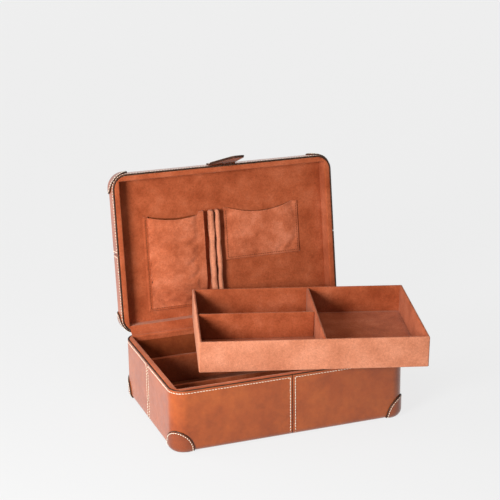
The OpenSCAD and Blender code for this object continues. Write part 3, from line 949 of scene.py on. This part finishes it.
TAN = smooth_leather("cognac_leather", (0.21, 0.036, 0.004), (0.27, 0.052, 0.007), (0.33, 0.072, 0.011))
CHESTNUT = smooth_leather("chestnut_leather", (0.14, 0.025, 0.004), (0.20, 0.038, 0.007), (0.27, 0.058, 0.012))
CUT = smooth_leather("cut_edge_leather", (0.07, 0.016, 0.006), (0.12, 0.027, 0.009), (0.18, 0.045, 0.015))
EDGE = painted_edge("painted_edge")
SUEDE = napped_suede("coral_suede", (0.25, 0.050, 0.017), (0.33, 0.076, 0.029), (0.41, 0.112, 0.050))
# A lighter copy of the coral suede: painted light, for pocket fronts that stand out into the light.
LIT_CORAL = napped_suede("painted_light_coral_suede", (0.28, 0.060, 0.022), (0.41, 0.108, 0.048), (0.54, 0.175, 0.092))
# A still lighter copy of the coral suede: painted light, for the lit outer tray walls and the raised ring bars.
LIT_SUEDE = napped_suede("painted_light_peach_suede", (0.41, 0.142, 0.074), (0.48, 0.178, 0.098), (0.55, 0.222, 0.130))
# A darker copy of the coral suede: painted shade, for the depths of the base and the slits behind the pocket
# mouths.
SHADE_SUEDE = napped_suede("painted_shade_suede", (0.13, 0.025, 0.007), (0.18, 0.038, 0.011), (0.24, 0.058, 0.020))
CREAM = twisted_thread("cream_thread", (0.60, 0.54, 0.42), (0.76, 0.71, 0.58))
RUST = twisted_thread("rust_thread", (0.10, 0.025, 0.010), (0.17, 0.045, 0.018))
BOARD = plain_solid("case_board", (0.32, 0.22, 0.13), (0.46, 0.34, 0.22), 120, 0, 0.8, 0.95)
BRASS = plain_solid("hinge_brass", (0.62, 0.42, 0.16), (0.78, 0.56, 0.24), 200, 1, 0.25, 0.4)
STEEL = plain_solid("magnet_steel", (0.48, 0.48, 0.50), (0.62, 0.62, 0.64), 200, 1, 0.25, 0.4)

SHELLS = {
    "base": dict(height=RIM, edge_r=BASE_EDGE_R, end_z=0, way=1, place=AT_REST),
    "lid": dict(height=LID_H, edge_r=LID_EDGE_R, end_z=LID_TOP, way=-1, place=OPENED),
}
CORNERS = {"front_left": (1, 1), "front_right": (-1, 1), "back_left": (1, -1), "back_right": (-1, -1)}


def add_panels():
    for body, shape in SHELLS.items():
        sizes = (shape["height"], shape["edge_r"], shape["end_z"], shape["way"])
        for corner, (sx, sy) in CORNERS.items():
            solid = leather_panel(sx, sy, *sizes)
            piece(f"{body}_leather_{corner}", solid, [TAN, EDGE, CUT], body,
                  [f"{body}_panel_{corner}"], shape["place"])
            thread = Solid()
            stitches(thread, panel_stitch_paths(sx, sy, *sizes), covered=under_tab)
            add_thread(f"{body}_stitching_{corner}", thread, body, shape["place"])


def add_guards():
    base_low = -BASE_EDGE_R * math.radians(54)
    for corner, (sx, sy) in CORNERS.items():
        for body, edge_r, egg_h, end_z, way, low_t, place in (
                ("base", BASE_EDGE_R, BASE_GUARD_H, 0, 1, base_low, AT_REST),
                ("lid", LID_EDGE_R, LID_GUARD_H, LID_TOP, -1, None, OPENED)):
            solid, thread = corner_guard(sx, sy, edge_r, egg_h, end_z, way, low_t)
            piece(f"{body}_corner_{corner}", solid, [CHESTNUT, EDGE], body,
                  [f"{body}_guard_{corner}"], place)
            add_thread(f"{body}_corner_stitching_{corner}", thread, body, place)


def add_end_sheets():
    """The flat leather under the base and on the lid, each with a sewn border."""
    inset = TURN_IN + SEAM_HALF
    x, y = HALF_W - inset, HALF_D - inset
    for name, node, body, z0, z1, side, place in (
            ("base_underside", "base_bottom_leather", "base", 0, LEATHER_T, -1, AT_REST),
            ("lid_cover", "lid_top_leather", "lid", LID_TOP - LEATHER_T, LID_TOP, 1, OPENED)):
        solid = Solid()
        pillow_slab(solid, (-x, -y, z0), (x, y, z1), 0, 0.6 * MM, wave=0, side=side)
        piece(name, solid, [TAN], body, [node], place)
        thread = Solid()
        row = 3 * MM
        z = z1 if side > 0 else z0
        normal = Vector((0, 0, side))
        ring = [Vector((sx * (x - row), sy * (y - row), z)) for sx, sy in ((-1, -1), (1, -1), (1, 1), (-1, 1))]
        for a, b in zip(ring, ring[1:] + ring[:1]):
            stitches(thread, [(a.lerp(b, t), normal) for t in between(0, 1, 40)], lift=-0.25 * MM)
        add_thread(f"{name}_stitching", thread, body, place)


def add_linings():
    for side in ("front", "back", "left", "right"):
        solid = wall_lining(side, RIM - FLOOR, RIM, -1)
        # Below the top 4 mm of each base wall the lining takes the dark suede: painted shade deep in the base.
        # The band near the rim keeps the plain suede.
        for k, face in enumerate(solid.faces):
            solid.paints[k] = 0 if min(solid.points[p].z for p in face) > RIM - 4 * MM else 1
        add_suede(f"base_suede_{side}", solid, "base", f"base_lining_{side}", AT_REST, SUEDE, SHADE_SUEDE)
        solid = wall_lining(side, PANEL_Z - LID_RIM, LID_RIM, 1)
        add_suede(f"lid_suede_{side}", solid, "lid", f"lid_lining_{side}", OPENED)
    solid = Solid()
    x, y = HALF_W - WALL + SUEDE_T, HALF_D - WALL + SUEDE_T
    pillow_slab(solid, (-x, -y, PANEL_Z), (x, y, PANEL_Z + SUEDE_T), 0, 0.5 * MM, 60, 42, 0.3 * MM, -1)
    add_suede("lid_suede_panel", solid, "lid", "lid_lining_panel", OPENED)
    solid = Solid()
    pad_low, pad_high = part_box("base_floor_pad")
    pillow_slab(solid, pad_low, pad_high, 0.3 * MM)
    # The floor pad takes the dark suede as painted shade at the bottom of the base.
    add_suede("base_suede_floor", solid, "base", "base_floor_pad", AT_REST, SHADE_SUEDE)


def add_hinge_strip():
    """The soft suede gusset that covers the hinge, from the base's back wall to the lid's."""
    inner = HALF_D - WALL
    over = 0.3 * MM
    corner = Vector((0, inner, RIM))
    lid_wall = [OPENED @ Vector((0, inner, z)) for z in between(LID_RIM + 9 * MM, LID_RIM + 0.5 * MM, 6)]
    lid_out = (OPENED.to_3x3() @ Vector((0, -1, 0))).normalized()
    lid_fold = OPENED @ Vector((0, inner + 3.5 * MM, LID_RIM))
    line = [corner + Vector((0, -over, -d)) for d in between(7 * MM, 1 * MM, 5)]
    line += [corner + Vector((0, 0.4 * MM, 1.5 * over)), corner + Vector((0, 3 * MM, 1.9 * over))]
    valley = (corner + Vector((0, 6.5 * MM, 2 * over))).lerp(lid_fold, 0.5)
    line += [valley, lid_fold + Vector((0, -1.6 * over, 0))]
    line += [p + lid_out * over for p in reversed(lid_wall)]
    curve = smooth_line(line, 5)
    half = HALF_W - WALL - 0.4 * MM
    grid = []
    for x in between(-half, half, 90):
        column = []
        for k, p in enumerate(curve):
            share = k / (len(curve) - 1)
            fold = 0.22 * MM * math.sin(share * math.pi * 9) * math.sin(math.pi * share)
            ripple = 0.2 * MM * noise.noise(Vector((x * 50, share * 7, 3))) * math.sin(math.pi * share)
            column.append(p + Vector((x, -(fold + ripple) * 0.7, (fold + ripple) * 0.7)))
        grid.append(column)
    solid = sheet_solid(grid, (0, -0.7, 0.7), 0.8 * MM)
    strip = piece("hinge_suede_strip", solid, [SUEDE], None)
    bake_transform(strip)
    length = sum((b - a).length for a, b in zip(curve, curve[1:]))


def smooth_line(points, steps):
    """A Catmull-Rom curve through the points."""
    ends = [points[0] * 2 - points[1]] + points + [points[-1] * 2 - points[-2]]
    out = []
    for a, b, c, d in zip(ends, ends[1:], ends[2:], ends[3:]):
        for k in range(steps):
            t = k / steps
            out.append((b * 2 + (c - a) * t + (a * 2 - b * 5 + c * 4 - d) * t * t
                        + (b * 3 - a - c * 3 + d) * t ** 3) / 2)
    out.append(points[-1])
    return out


def add_rails():
    rail_low, rail_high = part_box("tray_rest_rails")
    x0, y0, z0 = rail_low
    x1, y1, z1 = rail_high
    t = 6 * MM
    solid = Solid()
    for a, b, c, d, along in ((x0, y0, x1, y0 + t, 0), (x0, y1 - t, x1, y1, 0),
                              (x0, y0 + t, x0 + t, y1 - t, 1), (x1 - t, y0 + t, x1, y1 - t, 1)):
        soft_bar(solid, (a, b, z0), (c, d, z1), 1.1 * MM, along)
    add_suede("base_suede_rails", solid, "base", "tray_rest_rails")
    solid = Solid()
    soft_bar(solid, *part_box("compartment_divider"), 1.2 * MM)
    add_suede("base_suede_divider", solid, "base", "compartment_divider")


def add_pockets():
    grid = settled_grid(left_pocket_grid(), 9, 12, 3, 0.03, 1.6 * MM)
    solid = sheet_solid(grid, (0, 0, -1), 1.2 * MM)
    hem = on_panel(POCKET["x0"] + FLANGE + 0.2 * MM, POCKET["s0"] + FLANGE * 0.6, 0)
    # The pocket front takes the lighter coral suede as painted light where it swells out; the flat sewn flange
    # keeps the plain suede.
    flat = [p.x < hem.x or p.y > hem.y for p in solid.points]
    for k, face in enumerate(solid.faces):
        solid.paints[k] = 1 if all(flat[p] for p in face) else 0
    pocket = add_suede("lid_left_pocket", solid, "lid", "left_pocket", OPENED, LIT_CORAL, SUEDE)
    grid = settled_grid(patch_grid(), 8, 8, 1.5, 0.015, 0.8 * MM)
    solid = sheet_solid(grid, (0, 0, -1), 1.1 * MM)
    # The patch pocket is all lighter coral suede, painted light.
    patch = add_suede("lid_right_pocket", solid, "lid", "right_pocket", OPENED, LIT_CORAL)
    # A dark suede sheet behind each pocket's mouth, reaching a little above its top edge: a painted shadow in
    # the slit.
    solid = Solid()
    mouth_shadow_sheet(solid, POCKET, notched, 1.9 * MM, 0.5 * MM)
    mouth_shadow_sheet(solid, PATCH, scooped, 0.7 * MM, 0.5 * MM)
    piece("lid_pocket_mouth_shadows", solid, [SHADE_SUEDE], "lid", place=OPENED)
    out = Vector((0, 0, -1))
    thread = Solid()
    for size, edge_line, h in ((POCKET, notched, 1.7 * MM), (PATCH, scooped, 1.6 * MM)):
        inset = 2.8 * MM
        x0, x1, s0 = size["x0"] + inset, size["x1"] - inset, size["s0"] + inset
        sides = (x0,) if size is POCKET else (x0, x1)
        for x in sides:
            top = edge_line(x, size) - 3 * MM
            small_stitches(thread, [(on_panel(x, s, h), out) for s in between(s0, top, 40)])
        small_stitches(thread, [(on_panel(x, s0, h), out) for x in between(x0, x1, 40)])
    add_thread("lid_pocket_stitching", thread, "lid", OPENED, RUST)


def mouth_shadow_sheet(solid, size, edge_line, left, right):
    """Dark sheet inside a pocket, a painted shadow that shows as the slit behind its mouth."""
    x0, x1, _ = size["mouth"]
    rings = []
    for x in between(x0 + 2 * MM, x1 - 1 * MM, 40):
        along = (x - x0) / (x1 - x0)
        top = edge_line(x, size) + left + (right - left) * along
        foot = size["s0"] + 12 * MM
        rings.append([on_panel(x, foot, 0.15 * MM), on_panel(x, top, 0.15 * MM),
                      on_panel(x, top, 0.5 * MM), on_panel(x, foot, 0.5 * MM)])
    solid.skin(rings)


def small_stitches(thread, path):
    """The finer lockstitch that sews the suede."""
    stitches(thread, path, pitch=3 * MM, thread=0.38 * MM)


# Left side and width of each ring bar, across the lid
RING_BARS = ((119.4 * MM, 7.0 * MM), (127.8 * MM, 6.0 * MM))


def add_ring_bars():
    """Two padded bars, swelled by a little cloth pressure and held along the panel."""
    solid = Solid()
    for x0, wide in RING_BARS:
        bar = Solid()
        a = on_panel(x0 + 0.4 * MM, POCKET["s1"], 10 * MM)
        b = on_panel(x0 + wide - 0.4 * MM, POCKET["s0"], 0)
        soft_bar(bar, a, b, wide * 0.4, along=1, step=2.6 * MM, sway=0.3 * MM)
        held = [k for k, p in enumerate(bar.points) if p.z > PANEL_Z - 1.2 * MM]
        first = len(solid.points)
        solid.points += settled(bar.points, bar.faces, held, 4, 0.02, 0.7 * MM)
        solid.faces += [tuple(first + k for k in face) for face in bar.faces]
        solid.paints += bar.paints
    # The bars take the lighter peach suede: painted light on the raised bars.
    bars = add_suede("lid_ring_bars", solid, "lid", "ring_bars", OPENED, LIT_SUEDE)


TAB_W = 34 * MM
TAB_TIP_W = 17 * MM
TAB_L = 62 * MM
TAB_T = 1.8 * MM
TAB_LINING_T = 1.0 * MM
TAB_SEWN = 11 * MM
TAB_TIP_R = 5 * MM
TAB_PIVOT = Vector((0, -HALF_D - 0.7 * MM - TAB_LINING_T, LID_RIM + 6 * MM))


def tab_half_width(length):
    """Half the tab's width at a length past its pivot; lengths before the pivot are the sewn root."""
    if length <= 0:
        return TAB_W / 2
    shoulder = TAB_L - TAB_TIP_R
    if length <= shoulder:
        return TAB_W / 2 + (TAB_TIP_W - TAB_W) / 2 * length / shoulder
    past = min(length - shoulder, TAB_TIP_R)
    return TAB_TIP_W / 2 - TAB_TIP_R + math.sqrt(max(TAB_TIP_R ** 2 - past ** 2, 0))


def tab_line(length):
    """Place on the inside face of the tab's leather, and its outward normal, along its length."""
    hang = Vector((0, -math.sin(TAB_LIFT), -math.cos(TAB_LIFT)))
    out = Vector((0, -math.cos(TAB_LIFT), math.sin(TAB_LIFT)))
    if length >= 4 * MM:
        return TAB_PIVOT + hang * length, out
    root = Vector((0, -HALF_D, TAB_PIVOT.z))
    up = Vector((0, 0, -1))
    if length <= -2 * MM:
        return root + up * length, Vector((0, -1, 0))
    t = eased((length + 2 * MM) / (6 * MM))
    a = root + up * length
    b = TAB_PIVOT + hang * length
    return a.lerp(b, t), Vector((0, -1, 0)).lerp(out, t).normalized()


def tab_strip(lengths, trim, inside, thick, radius):
    """A strip of the tab's outline, trimmed at its edges, from inside to inside + thick off tab_line."""
    rings = []
    for length in lengths:
        half = tab_half_width(length) - trim
        place, out = tab_line(length)
        top, bottom = box_ring(half, thick / 2, min(radius, half * 0.9), 8, 1)
        rings.append([place + Vector((a, 0, 0)) + out * (inside + thick / 2 + b) for a, b in top + bottom])
    solid = Solid()
    count = len(rings[0])
    solid.skin(rings, lambda r, k: 0 if 5 <= k < 13 or count - 14 < k < count - 5 else 1, 1)
    return solid


def add_tab():
    tip = [TAB_L - TAB_TIP_R * (1 - math.sin(math.pi / 2 * k / 8)) for k in range(9)]
    lengths = between(-TAB_SEWN, TAB_L - TAB_TIP_R, 40)[:-1] + tip
    solid = tab_strip(lengths, 0, 0, TAB_T, 0.7 * MM)
    tab = piece("tab_leather", solid, [CHESTNUT, EDGE], None, ["tab_anchor", "tab_flap"],
                OPENED)
    start, _ = tab_line(-1 * MM)
    end, _ = tab_line(4 * MM)
    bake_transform(tab)
    flap = [max(length, 1.5 * MM) for length in lengths if length > 0]
    solid = tab_strip(flap[:-1] + [TAB_L - 0.6 * MM], 0.6 * MM, -TAB_LINING_T, TAB_LINING_T, 0.4 * MM)
    piece("tab_suede", solid, [CHESTNUT, EDGE], "tab", ["tab_flap_lining"], OPENED)
    thread = Solid()
    inset = 2.6 * MM
    for s in (-1, 1):
        path = []
        for length in between(2 * MM, TAB_L - TAB_TIP_R, 30):
            place, out = tab_line(length)
            path.append((place + Vector((s * (tab_half_width(length) - inset), 0, 0)) + out * TAB_T, out))
        stitches(thread, path)
    add_thread("tab_stitching", thread, "tab", OPENED)
    thread = Solid()
    for up in (3 * MM, 8 * MM):
        place, out = tab_line(-up)
        across = between(inset - TAB_W / 2, TAB_W / 2 - inset, 20)
        stitches(thread, [(place + Vector((x, 0, 0)) + out * TAB_T, out) for x in across])
    add_thread("tab_root_stitching", thread, "lid", OPENED)


TRAY_L = 258 * MM
TRAY_D = 169 * MM
TRAY_H = 36 * MM
TRAY_WALL = 3.6 * MM
TRAY_CROSS_X = 12 * MM
TRAY_LONG_Y = 3.5 * MM
TRAY_PLACE = (Matrix.Translation((49.3 * MM, -14.6 * MM, 78.2 * MM))
              @ Matrix.Rotation(math.radians(-15.7), 4, "Z")
              @ Matrix.Rotation(math.radians(1), 4, "Y")
              @ Matrix.Rotation(math.radians(1.9), 4, "X"))


def add_tray():
    x, y = TRAY_L / 2, TRAY_D / 2
    half = TRAY_WALL / 2
    solid = Solid()
    wrapped_ring(solid, x, y, 0, TRAY_H, TRAY_WALL, 1.6 * MM)
    # The outer faces of the tray's walls take the lighter peach suede as painted light. The inside faces keep
    # the plain suede.
    for k, face in enumerate(solid.faces):
        middle = sum((solid.points[p] for p in face), Vector()) / len(face)
        solid.paints[k] = 1 if abs(middle.x) > x - half or abs(middle.y) > y - half else 0
    piece("tray_suede_walls", solid, [SUEDE, LIT_SUEDE], "tray",
          ["tray_front_wall", "tray_back_wall", "tray_left_wall", "tray_right_wall"], TRAY_PLACE)
    solid = Solid()
    inner_x, inner_y = x - TRAY_WALL, y - TRAY_WALL
    pillow_slab(solid, (-inner_x, -inner_y, 0), (inner_x, inner_y, TRAY_WALL), 0.4 * MM, wave=0.25 * MM)
    add_suede("tray_suede_floor", solid, "tray", "tray_floor", TRAY_PLACE)
    for name, x0, x1, y0, y1, top, along in (
            ("cross", TRAY_CROSS_X - half, TRAY_CROSS_X + half, -inner_y, inner_y, TRAY_H - 0.5 * MM, 1),
            ("long", -inner_x, TRAY_CROSS_X - half, TRAY_LONG_Y - half, TRAY_LONG_Y + half,
             TRAY_H - 1 * MM, 0)):
        solid = Solid()
        soft_bar(solid, (x0, y0, TRAY_WALL), (x1, y1, top), 1.4 * MM, along)
        add_suede(f"tray_suede_{name}_divider", solid, "tray", f"tray_{name}_divider", TRAY_PLACE)


def finish_cad_nodes():
    """Boards, hinge and magnets keep their CAD shape and get their own materials."""
    for name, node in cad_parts.items():
        if name.endswith("_board"):
            material = BOARD
        elif name.startswith("hinge"):
            material = BRASS
        elif name.endswith("magnet"):
            material = STEEL
        else:
            continue
        node.data.materials.clear()
        node.data.materials.append(material)


add_studio()
add_panels()
add_guards()
add_end_sheets()
add_linings()
add_hinge_strip()
add_rails()
add_pockets()
add_ring_bars()
add_tab()
add_tray()
finish_cad_nodes()
